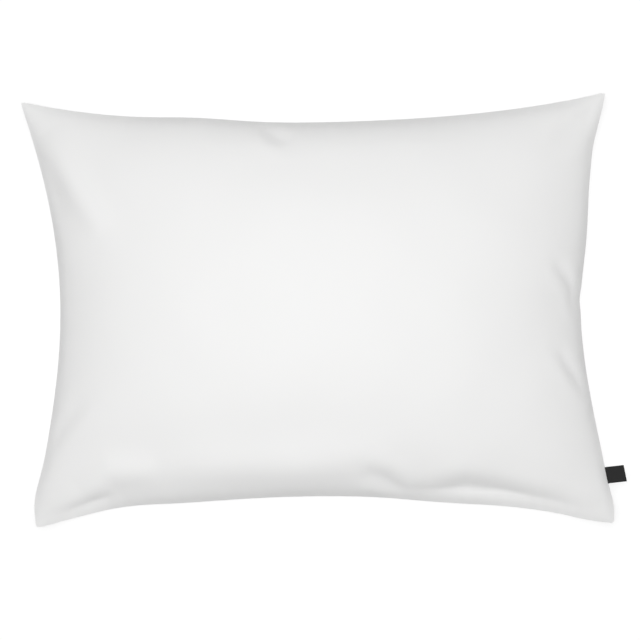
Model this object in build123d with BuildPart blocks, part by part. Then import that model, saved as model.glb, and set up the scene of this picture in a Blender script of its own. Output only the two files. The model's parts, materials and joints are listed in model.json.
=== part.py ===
from build123d import *
import os
from math import comb

# A bed pillow lying flat: a plain cotton case with a folded-in flap at its mouth, and inside
# it a piped, fibre-filled insert. X runs along the length, Y across, Z up from the bed.
# The origin is the middle of the flat patch that the pillow rests on.
# Cloth is drawn thicker than it is, so that every layer stays a sound solid.

# ---- driving dimensions, mm ----
seam_height = 68.0          # side seams above the bed
front_rise = 82.0           # crown of the front above the side seams
back_drop = 74.0            # how far the back would bulge below the seams without the bed
rim_reach = 45.0            # the cloth climbs steeply from a seam over about this distance
ear_share = 0.6             # share of the crown's height that the corner ears take

cloth = 0.8                 # one layer of case cotton or ticking
side_wall = 1.2             # the same, measured in plan where it turns down to a seam
seam_allowance = 9.0        # cloth turned inwards along each seam of the case
ear_gap = 20.0              # the two panels lie flat on each other this far into the ears
hem_width = 27.0            # double-turned hem at the mouth of the case
flap_length = 180.0         # inner flap, from the mouth inwards

insert_side_gap = 14.0      # the insert almost fills the sides of the case
insert_ear_gap = 52.0       # and stays clear of its ears
ticking_ear_gap = 10.0      # the same, between the insert's own two panels
ticking_allowance = 6.0
piping_radius = 1.6
piping_stand = 1.2          # the piping's middle stands this far outside the insert's seam
piping_bend = 4.0           # radius of its middle line round the insert's corners
closing_length = 150.0      # stretch of the insert's end seam that is closed after filling

thread = 1.0                # width of a line of stitches
thread_relief = 0.2         # stitches stand proud of the cloth on both sides

care_label_length = 40.0
care_label_width = 30.0
care_label_sheet = 0.45
care_label_bite = 0.05      # sewn down flat on the cloth
case_label_at = (-250.0, 90.0)
insert_label_at = (215.0, 60.0)

label_from_corner = 56.0    # side label's middle, along the seam from the bottom corner
label_width = 19.0          # along the seam
label_length = 19.0         # out of the seam, folded double
label_leaf = 0.5
label_gap = 0.2             # between the two leaves
label_root = 1.5            # the label bends this far outside the seam
label_bend = 0.75           # length of ribbon that does the bending
label_tail_length = 7.0

# Depths of the layers below the outer surface of the case.
hem_depth = 2 * cloth
flap_depth = 3 * cloth
insert_front_depth = 2 * cloth
insert_back_depth = 5 * cloth

# Corners of the seam line as the filled pillow lies. Each side is pulled in from the straight
# line between its corners: so far at its middle, and so far at the Bezier poles next to its
# first and last corner.
corners = {
    "bottom_left": (-323.0, -247.0),
    "bottom_right": (337.0, -242.0),
    "top_right": (327.0, 250.0),
    "top_left": (-341.0, 239.0),
}
side_pull = {
    "bottom": (34.0, 30.0, 30.0),
    "right": (35.0, 10.0, 25.0),
    "top": (29.0, 30.0, 30.0),
    "left": (37.0, 10.0, 30.0),
}
side_ends = {
    "bottom": ("bottom_left", "bottom_right", Vector(0, 1)),
    "right": ("bottom_right", "top_right", Vector(-1, 0)),
    "top": ("top_left", "top_right", Vector(0, -1)),
    "left": ("bottom_left", "top_left", Vector(1, 0)),
}
degree = 5
all_poles = range(degree + 1)
inner_poles = range(1, degree)
seam_lift = Vector(0, 0, seam_height)
slab_margin = 60.0          # cutting slabs reach this far past the mouth and the ears

os.makedirs("parts", exist_ok=True)


# ---- shapes ----
def side_pulls(side):
    """How far in the inner poles of a side lie, so that its middle comes out right."""
    middle, first, last = side_pull[side]
    deep = (2**degree * middle - degree * (first + last)) / (2 * comb(degree, 2))
    return first, deep, deep, last


def side_poles(side, side_inset=0.0, corner_inset=0.0):
    """Bezier poles of one side of the seam line, left to right or bottom to top."""
    first, last, inwards = side_ends[side]
    ends = []
    for x, y in (corners[first], corners[last]):
        ends.append(Vector(x - corner_inset * (1 if x > 0 else -1), y - corner_inset * (1 if y > 0 else -1)))
    start, end = ends
    slack = (side_inset - corner_inset) / (1 - 2 * 0.5**degree)
    poles = [start]
    for i, pull in zip(inner_poles, side_pulls(side)):
        poles.append(start + (end - start) * (i / degree) + inwards * (pull + slack))
    return poles + [end]


def plan_poles(side_inset, corner_inset):
    """Plan positions of a sheet's whole net of poles: a Coons patch between the four sides."""
    low, right, high, left = [side_poles(side, side_inset, corner_inset) for side in side_ends]
    net = []
    for i in all_poles:
        u = i / degree
        row = []
        for j in all_poles:
            v = j / degree
            ruled = low[i] * (1 - v) + high[i] * v + left[j] * (1 - u) + right[j] * u
            low_end = low[0] * (1 - u) + low[-1] * u
            high_end = high[0] * (1 - u) + high[-1] * u
            row.append(ruled - low_end * (1 - v) - high_end * v)
        net.append(row)
    for i in inner_poles:
        net[i][1] = low[i] + Vector(0, rim_reach)
        net[i][-2] = high[i] - Vector(0, rim_reach)
    for j in inner_poles:
        net[1][j] = Vector(left[j].X + rim_reach, net[1][j].Y)
        net[-2][j] = Vector(right[j].X - rim_reach, net[-2][j].Y)
    return net


def lift_share(i, j):
    """How much of the crown's height a pole takes: none on the seam, less in the ears."""
    if i in (0, degree) or j in (0, degree):
        return 0.0
    return ear_share if i in (1, degree - 1) and j in (1, degree - 1) else 1.0


def sheet(rise, side_inset, corner_inset):
    """One crowned surface from the seam line up (or down) to its crown."""
    weight = [comb(degree, i) * 0.5**degree for i in all_poles]
    crown = sum(lift_share(i, j) * weight[i] * weight[j] for i in all_poles for j in all_poles)
    net = plan_poles(side_inset, corner_inset)
    for i in all_poles:
        for j in all_poles:
            net[i][j] = net[i][j] + seam_lift + Vector(0, 0, rise * lift_share(i, j) / crown)
    return Face.make_bezier_surface(net)


def seam_outline(side_inset, corner_inset):
    """The closed seam line, flat at seam height."""
    sides = [side_poles(side, side_inset, corner_inset) for side in side_ends]
    return Wire([Edge.make_bezier(*[pole + seam_lift for pole in poles]) for poles in sides])


def dome(rise, side_inset=0.0, corner_inset=0.0):
    """Solid between the seam plane and one crowned sheet, above it or below it."""
    floor = Face(seam_outline(side_inset, corner_inset))
    return Solid(Shell([sheet(rise, side_inset, corner_inset), floor]))


def back_dome(depth, side_inset=0.0, corner_inset=0.0):
    """The same below the seam plane, pressed flat by the bed or by the layer under it."""
    form = dome(depth - back_drop, side_inset, corner_inset)
    return split(form, bisect_by=Plane.XY.offset(depth), keep=Keep.TOP, mode=Mode.PRIVATE)


def seam_band(near, far, corner_near, rise):
    """A flat band of cloth or stitches all round the seam, on one side of the seam plane."""
    with BuildPart() as band:
        with BuildSketch(Plane.XY.offset(seam_height)):
            for inset, mode in ((near, Mode.ADD), (far, Mode.SUBTRACT)):
                with BuildLine():
                    for side in side_ends:
                        Bezier(*side_poles(side, inset, inset + corner_near - near))
                make_face(mode=mode)
        extrude(amount=rise)
    return band.part


def mouth_slab(near, far):
    """Everything between two lines parallel to the mouth, at two distances from it."""
    poles = side_poles("left")
    past_bottom = poles[0] + (poles[0] - poles[1]).normalized() * slab_margin
    past_top = poles[-1] + (poles[-1] - poles[-2]).normalized() * slab_margin
    with BuildPart() as slab:
        with BuildSketch():
            with BuildLine():
                for reach in (Vector(near, 0), Vector(far, 0)):
                    Line(past_bottom + reach, poles[0] + reach)
                    Bezier(*[pole + reach for pole in poles])
                    Line(poles[-1] + reach, past_top + reach)
                for end in (past_bottom, past_top):
                    Line(end + Vector(near, 0), end + Vector(far, 0))
            make_face()
        extrude(amount=seam_height + front_rise)
    return slab.part


def upright_block(centre, length, width):
    """A block above the seam plane that cuts a piece out of one layer of the front."""
    with BuildPart(Plane.XY.offset(seam_height)) as block:
        with Locations(centre):
            Box(length, width, front_rise, align=(Align.CENTER, Align.CENTER, Align.MIN))
    return block.part


def save(builder, name):
    builder.part.label = name
    export_step(builder.part, f"parts/{name}.step")


# ---- pillow case ----
with BuildPart() as front_allowance:
    add(seam_band(0, seam_allowance, 0, cloth))
    add(dome(front_rise), mode=Mode.INTERSECT)

with BuildPart() as case_front_panel:
    add(dome(front_rise))
    add(dome(front_rise - cloth, side_wall, ear_gap), mode=Mode.SUBTRACT)
    add(front_allowance.part)
save(case_front_panel, "case_front_panel")

# The back panel is sewn to the front on three sides only: the fourth is the mouth.
mouth_edge = mouth_slab(-slab_margin, seam_allowance + cloth)
with BuildPart() as back_allowance:
    add(seam_band(0, seam_allowance, 0, -cloth))
    add(dome(-back_drop), mode=Mode.INTERSECT)
    add(mouth_edge, mode=Mode.SUBTRACT)

hem_zone = mouth_slab(-slab_margin, hem_width)
hem_side = side_wall + cloth
hem_ear = ear_gap + cloth
with BuildPart() as turned_hem:
    add(back_dome(cloth, side_wall, ear_gap))
    add(back_dome(hem_depth, hem_side, hem_ear), mode=Mode.SUBTRACT)
    add(hem_zone, mode=Mode.INTERSECT)

with BuildPart() as case_back_panel:
    add(back_dome(0))
    add(back_dome(cloth, side_wall, ear_gap), mode=Mode.SUBTRACT)
    add(back_allowance.part)
    add(turned_hem.part)
save(case_back_panel, "case_back_panel")

# The front panel's end is folded in at the mouth and lies between the insert and the back.
flap_side = side_wall + 2 * cloth
flap_ear = ear_gap + 3 * cloth
flap_inside = (flap_side + side_wall, flap_ear + side_wall)
flap_zone = mouth_slab(-slab_margin, flap_length)
with BuildPart() as case_tuck_flap:
    add(back_dome(flap_depth, flap_side, flap_ear))
    add(back_dome(flap_depth + cloth, *flap_inside), mode=Mode.SUBTRACT)
    add(flap_zone, mode=Mode.INTERSECT)
    add(back_allowance.part, mode=Mode.SUBTRACT)
save(case_tuck_flap, "case_tuck_flap")

# ---- stitches of the case ----
thread_half = cloth + thread_relief
case_stitch = seam_allowance / 2
with BuildPart() as case_seam_thread:
    for rise in (thread_half, -thread_half):
        add(seam_band(case_stitch, case_stitch + thread, case_stitch, rise))
    add(mouth_edge, mode=Mode.SUBTRACT)
save(case_seam_thread, "case_seam_thread")

# The lines of stitches in the two hems stop short of the side seams.
hem_top = Plane.XY.offset(seam_height - 2 * cloth)
hem_stitch = mouth_slab(hem_width - 3 * thread, hem_width - 2 * thread)
with BuildPart() as case_hem_thread:
    add(back_dome(-thread_relief, -thread_relief))
    add(back_dome(hem_depth + thread_relief, hem_side, hem_ear), mode=Mode.SUBTRACT)
    add(hem_stitch, mode=Mode.INTERSECT)
    split(bisect_by=hem_top, keep=Keep.BOTTOM)
save(case_hem_thread, "case_hem_thread")

flap_stitch = mouth_slab(flap_length - 9 * thread, flap_length - 8 * thread)
with BuildPart() as flap_hem_thread:
    add(back_dome(flap_depth - thread_relief, flap_side - thread_relief, flap_ear - thread_relief))
    add(back_dome(flap_depth + cloth + thread_relief, *flap_inside), mode=Mode.SUBTRACT)
    add(flap_stitch, mode=Mode.INTERSECT)
    split(bisect_by=hem_top, keep=Keep.BOTTOM)
save(flap_hem_thread, "flap_hem_thread")

# ---- labels ----
# The side label is one folded ribbon. It bends just outside the seam, so it is two pieces here.
right_seam = Edge.make_bezier(*[pole + seam_lift for pole in side_poles("right")])
station = label_from_corner / right_seam.length
along_seam = right_seam % station
out_of_seam = along_seam.cross(Vector(0, 0, 1))
label_hinge = right_seam @ station + out_of_seam * label_root
label_plane = Plane(origin=label_hinge, x_dir=out_of_seam, z_dir=along_seam)
leaf_far = label_leaf + label_gap / 2
leaf_near = label_gap / 2
fold = label_length - label_root - leaf_far
with BuildPart() as side_label:
    with BuildSketch(label_plane):
        with BuildLine():
            CenterArc((fold, 0), leaf_far, -90, 180)
            CenterArc((fold, 0), leaf_near, -90, 180)
            for side in (1, -1):
                Line((0, side * leaf_far), (fold, side * leaf_far))
                Line((0, side * leaf_near), (fold, side * leaf_near))
                Line((0, side * leaf_near), (0, side * leaf_far))
        make_face()
    extrude(amount=label_width / 2, both=True)
save(side_label, "side_label")

with BuildPart() as side_label_tail:
    with BuildSketch(label_plane):
        with Locations((-label_bend, 0)):
            Rectangle(label_tail_length, 2 * leaf_far, align=(Align.MAX, Align.CENTER))
    extrude(amount=label_width / 2, both=True)
save(side_label_tail, "side_label_tail")

case_label_block = upright_block(case_label_at, care_label_width, care_label_length)
with BuildPart() as case_care_label:
    add(dome(front_rise - cloth + care_label_bite, side_wall, ear_gap))
    under = (side_wall + care_label_sheet, ear_gap + care_label_sheet)
    add(dome(front_rise - cloth - care_label_sheet, *under), mode=Mode.SUBTRACT)
    add(case_label_block, mode=Mode.INTERSECT)
save(case_care_label, "case_care_label")

# ---- insert ----
insert_rise = front_rise - insert_front_depth
insert_edge = (insert_side_gap, insert_ear_gap)
ticking_inside = (insert_side_gap + side_wall, insert_ear_gap + ticking_ear_gap)
turned_in = (insert_side_gap, insert_side_gap + ticking_allowance, insert_ear_gap)

with BuildPart() as ticking_front_allowance:
    add(seam_band(*turned_in, cloth))
    add(dome(insert_rise, *insert_edge), mode=Mode.INTERSECT)

with BuildPart() as ticking_front_panel:
    add(dome(insert_rise, *insert_edge))
    add(dome(insert_rise - cloth, *ticking_inside), mode=Mode.SUBTRACT)
    add(ticking_front_allowance.part)
save(ticking_front_panel, "ticking_front_panel")

with BuildPart() as ticking_back_allowance:
    add(seam_band(*turned_in, -cloth))
    add(dome(insert_back_depth - back_drop, *insert_edge), mode=Mode.INTERSECT)

with BuildPart() as ticking_back_panel:
    add(back_dome(insert_back_depth, *insert_edge))
    add(back_dome(insert_back_depth + cloth, *ticking_inside), mode=Mode.SUBTRACT)
    add(ticking_back_allowance.part)
save(ticking_back_panel, "ticking_back_panel")

piping_line = seam_outline(insert_side_gap - piping_stand, insert_ear_gap - piping_stand)
piping_path = piping_line.fillet_2d(piping_bend, piping_line.vertices())
with BuildPart() as insert_piping:
    with BuildSketch(Plane(origin=piping_path @ 0, z_dir=piping_path % 0)):
        Circle(piping_radius)
    sweep(path=piping_path)
save(insert_piping, "insert_piping")

# The insert is filled through a gap in its end seam, which is then sewn shut close to the edge.
end_seam_x = corners["bottom_right"][0]
with BuildPart() as closing_gap:
    with Locations((end_seam_x, 0, seam_height)):
        Box(end_seam_x, closing_length, 4 * thread_half)

ticking_stitch = insert_side_gap + ticking_allowance / 2
stitch_corner = insert_ear_gap + ticking_allowance / 2
with BuildPart() as ticking_seam_thread:
    for rise in (thread_half, -thread_half):
        add(seam_band(ticking_stitch, ticking_stitch + thread, stitch_corner, rise))
    add(closing_gap.part, mode=Mode.SUBTRACT)
save(ticking_seam_thread, "ticking_seam_thread")

closing_stitch = insert_side_gap + thread
with BuildPart() as ticking_closing_thread:
    for rise in (thread_half, -thread_half):
        add(seam_band(closing_stitch, closing_stitch + thread, insert_ear_gap + thread, rise))
    add(closing_gap.part, mode=Mode.INTERSECT)
save(ticking_closing_thread, "ticking_closing_thread")

insert_label_block = upright_block(insert_label_at, care_label_width, care_label_length)
with BuildPart() as insert_care_label:
    over = (insert_side_gap - care_label_sheet, insert_ear_gap - care_label_sheet)
    add(dome(insert_rise + care_label_sheet, *over))
    add(dome(insert_rise - care_label_bite, *insert_edge), mode=Mode.SUBTRACT)
    add(insert_label_block, mode=Mode.INTERSECT)
save(insert_care_label, "insert_care_label")

fill_edge = (insert_side_gap + ticking_allowance + thread, insert_ear_gap + ticking_ear_gap + thread)
with BuildPart() as fibre_fill:
    add(dome(insert_rise - 2 * cloth, *fill_edge))
    add(back_dome(insert_back_depth + 2 * cloth, *fill_edge))
save(fibre_fill, "fibre_fill")

print("side label bends about", label_hinge, "along", along_seam)
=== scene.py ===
import json
import math

import bpy
import numpy as np
from bpy.props import FloatProperty, FloatVectorProperty, IntProperty, PointerProperty
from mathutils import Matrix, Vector


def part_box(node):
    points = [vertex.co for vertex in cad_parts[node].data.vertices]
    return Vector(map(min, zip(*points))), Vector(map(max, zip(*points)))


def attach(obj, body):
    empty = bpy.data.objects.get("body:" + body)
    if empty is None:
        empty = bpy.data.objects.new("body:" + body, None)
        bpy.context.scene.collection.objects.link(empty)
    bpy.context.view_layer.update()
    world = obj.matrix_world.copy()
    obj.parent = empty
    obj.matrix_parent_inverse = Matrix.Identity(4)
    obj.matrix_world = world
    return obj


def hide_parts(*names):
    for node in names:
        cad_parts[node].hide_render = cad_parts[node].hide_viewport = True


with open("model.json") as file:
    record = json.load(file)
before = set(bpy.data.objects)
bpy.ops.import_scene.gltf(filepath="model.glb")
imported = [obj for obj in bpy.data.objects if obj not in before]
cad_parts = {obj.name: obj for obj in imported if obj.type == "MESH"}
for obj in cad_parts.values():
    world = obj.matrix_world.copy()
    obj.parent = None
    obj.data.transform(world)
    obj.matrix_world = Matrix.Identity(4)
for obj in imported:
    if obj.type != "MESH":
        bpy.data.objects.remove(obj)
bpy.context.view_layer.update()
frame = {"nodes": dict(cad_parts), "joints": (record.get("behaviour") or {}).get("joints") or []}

bl_info = {
    "name": "Bed Pillow",
    "version": (1, 0, 0),
    "blender": (4, 5, 0),
    "location": "View3D > Sidebar > Pillow",
    "description": "Sews, fills and finishes a bed pillow in a plain cotton case",
    "category": "Object",
}

# ---------------------------------------------------------------- places from the frame
MM = 0.001
PILLOW = "pillow"
FLAG = "label_flag"


def span(node):
    """Lowest and highest corner of a CAD node."""
    low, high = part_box(node)
    return np.array(low), np.array(high)


CASE_LOW, CASE_HIGH = span("case_front_panel")
TICKING_LOW = span("ticking_front_panel")[0]
FLAG_HIGH = span("side_label")[1]
SEAM_Z = float(CASE_LOW[2])
CROWN_RISE = float(CASE_HIGH[2] - SEAM_Z)
INSERT_EAR_GAP = float(TICKING_LOW[0] - CASE_LOW[0])
HINGE = next(joint for joint in frame["joints"] if joint["name"] == "label_flip")
LABEL_ROOT = np.array(HINGE["pos_m"])
ALONG_SEAM = np.array(HINGE["axis"])
OUT_OF_SEAM = np.cross(ALONG_SEAM, (0, 0, 1))


# ---------------------------------------------------------------- settings
class CaseSettings(bpy.types.PropertyGroup):
    cut_length: FloatProperty(name="Cut length", default=0.70, unit="LENGTH",
                              description="Length of the case's panels before filling")
    cut_width: FloatProperty(name="Cut width", default=0.50, unit="LENGTH",
                             description="Width of the case's panels before filling")
    cloth: FloatProperty(name="Cloth", default=0.0004, unit="LENGTH",
                         description="Thickness of one layer of case cotton")
    tautness: FloatProperty(name="Tautness", default=0.972, min=0.9, max=1.0,
                            description="Share of the cut size that the filling's pressure works on")
    pressure: FloatProperty(name="Pressure", default=0.8,
                            description="How hard the filling pushes the cloth out")
    columns: IntProperty(name="Columns", default=96, description="Cells of cloth along the length")
    rows: IntProperty(name="Rows", default=68, description="Cells of cloth across the width")
    frames: IntProperty(name="Frames", default=40, description="Steps of settling")
    heap: FloatProperty(name="Heap", default=0.5, min=0, max=1,
                        description="How far the filling gathers in the middle of the case")
    pucker: FloatProperty(name="Seam pucker", default=0.0007, unit="LENGTH",
                          description="Height of the small gathers beside the sewn seams")
    hem: FloatProperty(name="Hem", default=0.027, unit="LENGTH",
                       description="Width of the double-turned hem at the mouth")
    allowance: FloatProperty(name="Seam allowance", default=0.009, unit="LENGTH",
                             description="Cloth turned inwards along each seam")
    flap: FloatProperty(name="Flap", default=0.18, unit="LENGTH",
                        description="Length of the flap folded in at the mouth")


class InsertSettings(bpy.types.PropertyGroup):
    side_gap: FloatProperty(name="Side gap", default=0.014, unit="LENGTH",
                            description="Room between the insert and the sides of the case")
    depth: FloatProperty(name="Depth", default=0.003, unit="LENGTH",
                         description="How far under the case the ticking lies")
    wadding: FloatProperty(name="Wadding", default=0.003, unit="LENGTH",
                           description="How far under the ticking the fibre lies")
    piping: FloatProperty(name="Piping", default=0.0016, unit="LENGTH",
                          description="Radius of the piped edge")
    opening: FloatProperty(name="Opening", default=0.15, unit="LENGTH",
                           description="Length of end seam closed by hand after filling")


class StitchSettings(bpy.types.PropertyGroup):
    pitch: FloatProperty(name="Pitch", default=0.0027, unit="LENGTH",
                         description="Distance from stitch to stitch")
    length: FloatProperty(name="Stitch", default=0.0023, unit="LENGTH",
                          description="Length of thread that shows in one stitch")
    thread: FloatProperty(name="Thread", default=0.00018, unit="LENGTH",
                          description="Radius of the sewing thread")
    seed: IntProperty(name="Seed", default=7, description="Seed of the small unevenness of stitches")


class LabelSettings(bpy.types.PropertyGroup):
    width: FloatProperty(name="Width", default=0.019, unit="LENGTH",
                         description="Width of the side label along the seam")
    ribbon: FloatProperty(name="Ribbon", default=0.0003, unit="LENGTH",
                          description="Thickness of the woven ribbon")
    tail: FloatProperty(name="Tail", default=0.007, unit="LENGTH",
                        description="Length of ribbon caught in the seam")
    lean: FloatProperty(name="Lean", default=0.09,
                        description="How far the label leans towards the corner, as a slope")
    droop: FloatProperty(name="Droop", default=0.0012, unit="LENGTH",
                         description="How far the label's folded end hangs")
    care_width: FloatProperty(name="Care label width", default=0.03, unit="LENGTH",
                              description="Width of the inner care labels")
    care_length: FloatProperty(name="Care label length", default=0.04, unit="LENGTH",
                               description="Length of the inner care labels")


class FinishSettings(bpy.types.PropertyGroup):
    cotton: FloatVectorProperty(name="Case cotton", subtype="COLOR", default=(0.90, 0.90, 0.90),
                                description="Bleached percale of the case")
    ticking: FloatVectorProperty(name="Ticking", subtype="COLOR", default=(0.84, 0.83, 0.80),
                                 description="Dense cotton cover of the insert")
    thread: FloatVectorProperty(name="Thread", subtype="COLOR", default=(0.88, 0.88, 0.87),
                                description="Sewing thread")
    ribbon: FloatVectorProperty(name="Label ribbon", subtype="COLOR", default=(0.0035, 0.0035, 0.004),
                                description="Woven side label")
    tape: FloatVectorProperty(name="Tape", subtype="COLOR", default=(0.82, 0.82, 0.80),
                              description="Care labels and the cover of the piping")
    fibre: FloatVectorProperty(name="Fibre", subtype="COLOR", default=(0.87, 0.87, 0.86),
                               description="Polyester filling")


class StageSettings(bpy.types.PropertyGroup):
    view_width: FloatProperty(name="View width", default=0.7296, unit="LENGTH",
                              description="Width of the picture at seam height")
    camera_height: FloatProperty(name="Camera height", default=3.0, unit="LENGTH",
                                 description="Height of the camera above the bed")
    aim: FloatVectorProperty(name="Aim", size=2, default=(0.0009, -0.0097), subtype="TRANSLATION",
                             description="Point that the camera looks straight down at")
    surround: FloatProperty(name="Surround", default=0.15,
                            description="Strength of the even white light from above")
    bounce: FloatProperty(name="Bounce", default=0.98,
                          description="Strength of the light thrown back from below")
    overhead: FloatProperty(name="Overhead", default=35.6,
                            description="Power of the large soft light above")
    overhead_at: FloatVectorProperty(name="Overhead place", default=(-0.05, 0.06, 2.2),
                                     subtype="TRANSLATION",
                                     description="Place of the large soft light")
    overhead_size: FloatProperty(name="Overhead size", default=0.7, unit="LENGTH",
                                 description="Width of the large soft light")
    floor_glow: FloatProperty(name="Floor glow", default=0.78,
                              description="Light that the backlit white table gives off")


class PillowSettings(bpy.types.PropertyGroup):
    case: PointerProperty(type=CaseSettings)
    insert: PointerProperty(type=InsertSettings)
    stitches: PointerProperty(type=StitchSettings)
    labels: PointerProperty(type=LabelSettings)
    finishes: PointerProperty(type=FinishSettings)
    stage: PointerProperty(type=StageSettings)


# ---------------------------------------------------------------- materials
class Wire:
    """A node's output that can be calculated with: each operator adds one Math node."""

    def __init__(self, finish, socket):
        self.finish = finish
        self.socket = socket

    def maths(self, operation, *values):
        inputs = dict(enumerate(values))
        return self.finish.node("ShaderNodeMath", {"operation": operation}, inputs)

    def __add__(self, other):
        return self.maths("ADD", self, other)

    def __sub__(self, other):
        return self.maths("SUBTRACT", self, other)

    def __rsub__(self, other):
        return self.maths("SUBTRACT", other, self)

    def __mul__(self, other):
        return self.maths("MULTIPLY", self, other)

    __radd__ = __add__
    __rmul__ = __mul__

    def sine(self):
        return self.maths("SINE", self)


class Finish:
    """A material and the one method that adds a node to it."""

    def __init__(self, name):
        self.material = bpy.data.materials.new(name)
        self.material.use_nodes = True
        self.tree = self.material.node_tree
        self.tree.nodes.clear()

    def node(self, kind, settings=None, inputs=None, output=0):
        made = self.tree.nodes.new(kind)
        for key, value in (settings or {}).items():
            setattr(made, key, value)
        for key, value in (inputs or {}).items():
            if isinstance(value, Wire):
                self.tree.links.new(value.socket, made.inputs[key])
            else:
                made.inputs[key].default_value = value
        return Wire(self, made.outputs[output])

    def tint(self, low, high, factor):
        """A colour between two colours."""
        settings = {"data_type": "RGBA", "clamp_factor": True}
        return self.node("ShaderNodeMix", settings, {0: factor, 6: (*low, 1), 7: (*high, 1)}, 2)

    def cloth_axes(self):
        """Lengths along and across the cloth itself, in metres."""
        place = self.node("ShaderNodeUVMap", {"uv_map": "cloth"})
        split = self.node("ShaderNodeSeparateXYZ", None, {0: place})
        return place, split, Wire(self, split.socket.node.outputs[1])

    def object_place(self):
        """Object coordinates, in metres."""
        return self.node("ShaderNodeTexCoord", output="Object")

    def noise(self, place, scale, detail=2.0):
        return self.node("ShaderNodeTexNoise", None, {"Vector": place, "Scale": scale, "Detail": detail})

    def bump(self, height, depth):
        return self.node("ShaderNodeBump", None, {"Height": height, "Distance": depth})

    def surface(self, **inputs):
        """Ends the material in one Principled shader, with _ for a space in a socket's name."""
        named = {key.replace("_", " "): value for key, value in inputs.items()}
        shader = self.node("ShaderNodeBsdfPrincipled", None, named)
        end = self.tree.nodes.new("ShaderNodeOutputMaterial")
        self.tree.links.new(shader.socket, end.inputs["Surface"])
        return self.material


# Patterns of woven cloth: noise scale of its slubs, mottle and fuzz, and how drawn out slubs are.
SLUBS = 60.0
MOTTLE = 22.0
FUZZ = 420.0
SLUB_STRETCH = 14


def shade(colour, share):
    """A darker or lighter tone of a colour."""
    return tuple(part * share for part in colour)


def woven(name, colour, yarn, relief, variation, roughness, sheen):
    """Plain-woven cloth: crossing yarns, slubs along both ways and a soft mottle."""
    finish = Finish(name)
    place, along, across = finish.cloth_axes()
    turns = 2 * math.pi / yarn
    warp = (along * turns).sine()
    weft = (across * turns).sine()
    weave = warp * weft
    stretch_warp = finish.node("ShaderNodeMapping", None, {"Vector": place, "Scale": (1, SLUB_STRETCH, 1)})
    stretch_weft = finish.node("ShaderNodeMapping", None, {"Vector": place, "Scale": (SLUB_STRETCH, 1, 1)})
    slub = finish.noise(stretch_warp, SLUBS) + finish.noise(stretch_weft, SLUBS)
    mottle = finish.noise(place, MOTTLE, 4.0)
    fine = finish.noise(place, FUZZ, 3.0)
    mix = mottle * 0.6 + slub * 0.2
    base = finish.tint(shade(colour, 1 - variation), colour, mix)
    rough = (mix - 0.5) * 0.1 + roughness
    normal = finish.bump(weave * 0.5 + fine * 0.5 + slub * 0.4, relief)
    return finish.surface(
        Base_Color=base,
        Roughness=rough,
        Normal=normal,
        Sheen_Weight=sheen,
        Sheen_Roughness=0.45,
        Specular_IOR_Level=0.25,
    )


def spun(name, colour):
    """Sewing thread: a twisted, slightly glossy yarn."""
    finish = Finish(name)
    place = finish.object_place()
    twist = finish.node("ShaderNodeTexWave", {"bands_direction": "DIAGONAL"},
                        {"Vector": place, "Scale": 1400.0, "Distortion": 1.5})
    twist = finish.node("ShaderNodeSeparateColor", None, {0: twist})
    return finish.surface(
        # Painted shade: the twist that raises the plies also darkens the colour in the grooves between
        # them.
        Base_Color=finish.tint(shade(colour, 0.86), colour, twist),
        Roughness=0.55 + twist * 0.15,
        Normal=finish.bump(twist, 0.00006),
        Sheen_Weight=0.15,
    )


def ribbon(name, colour):
    """Narrow satin-faced ribbon: close ribs across it."""
    finish = Finish(name)
    rib, yarn = 0.0005, 0.00035
    place, along, across = finish.cloth_axes()
    ribs = (across * (2 * math.pi / rib)).sine()
    warp = (along * (2 * math.pi / yarn)).sine()
    wear = finish.noise(place, 900.0, 3.0)
    height = ribs * 0.5 + ribs * warp * 0.4 + wear * 0.3
    return finish.surface(
        # Partly painted highlight: the ribs' raised crests are painted lighter; the wear spots are
        # lighter, rougher and raised as worn fibre.
        Base_Color=finish.tint(colour, shade(colour, 2.6), ribs * 0.25 + wear * 0.5),
        Roughness=0.5 + wear * 0.25,
        Normal=finish.bump(height, 0.00008),
        Sheen_Weight=0.01,
        Specular_IOR_Level=0.18,
    )


def wadding(name, colour):
    """Crimped fibre: tangled strands with soft hollows between them."""
    finish = Finish(name)
    place = finish.object_place()
    tangle = finish.noise(place, 260.0, 6.0)
    tufts = finish.noise(place, 38.0, 4.0)
    return finish.surface(
        # Painted shade: the tufts and tangle that sink the hollows also darken the colour there.
        Base_Color=finish.tint(shade(colour, 0.82), colour, tufts * 0.6 + tangle * 0.4),
        Roughness=0.8 + tufts * 0.15,
        Normal=finish.bump(tangle * 0.4 + tufts, 0.003),
        Sheen_Weight=0.3,
    )


# Woven cloths by slot: colour, yarn spacing and relief in metres, variation, roughness, sheen.
CLOTHS = {
    "case_cotton": ("cotton", 0.0006, 0.00006, 0.02, 0.82, 0.12),
    "ticking": ("ticking", 0.0009, 0.0001, 0.05, 0.85, 0.1),
    "care_tape": ("tape", 0.0005, 0.00005, 0.03, 0.6, 0.1),
    "piping_tape": ("tape", 0.0008, 0.0001, 0.04, 0.85, 0.1),
}
OTHER_FINISHES = {
    "sewing_thread": (spun, "thread"),
    "label_ribbon": (ribbon, "ribbon"),
    "fibre": (wadding, "fibre"),
}


def finish_named(slot):
    """The material of one of the record's slots, made the first time that it is asked for."""
    known = bpy.data.materials.get(slot)
    if known is not None:
        return known
    colours = bpy.context.scene.pillow.finishes
    if slot in CLOTHS:
        colour, *feel = CLOTHS[slot]
        return woven(slot, getattr(colours, colour), *feel)
    maker, colour = OTHER_FINISHES[slot]
    return maker(slot, getattr(colours, colour))


# ---------------------------------------------------------------- mesh helpers
SHARP_EDGE = math.radians(55)


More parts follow.
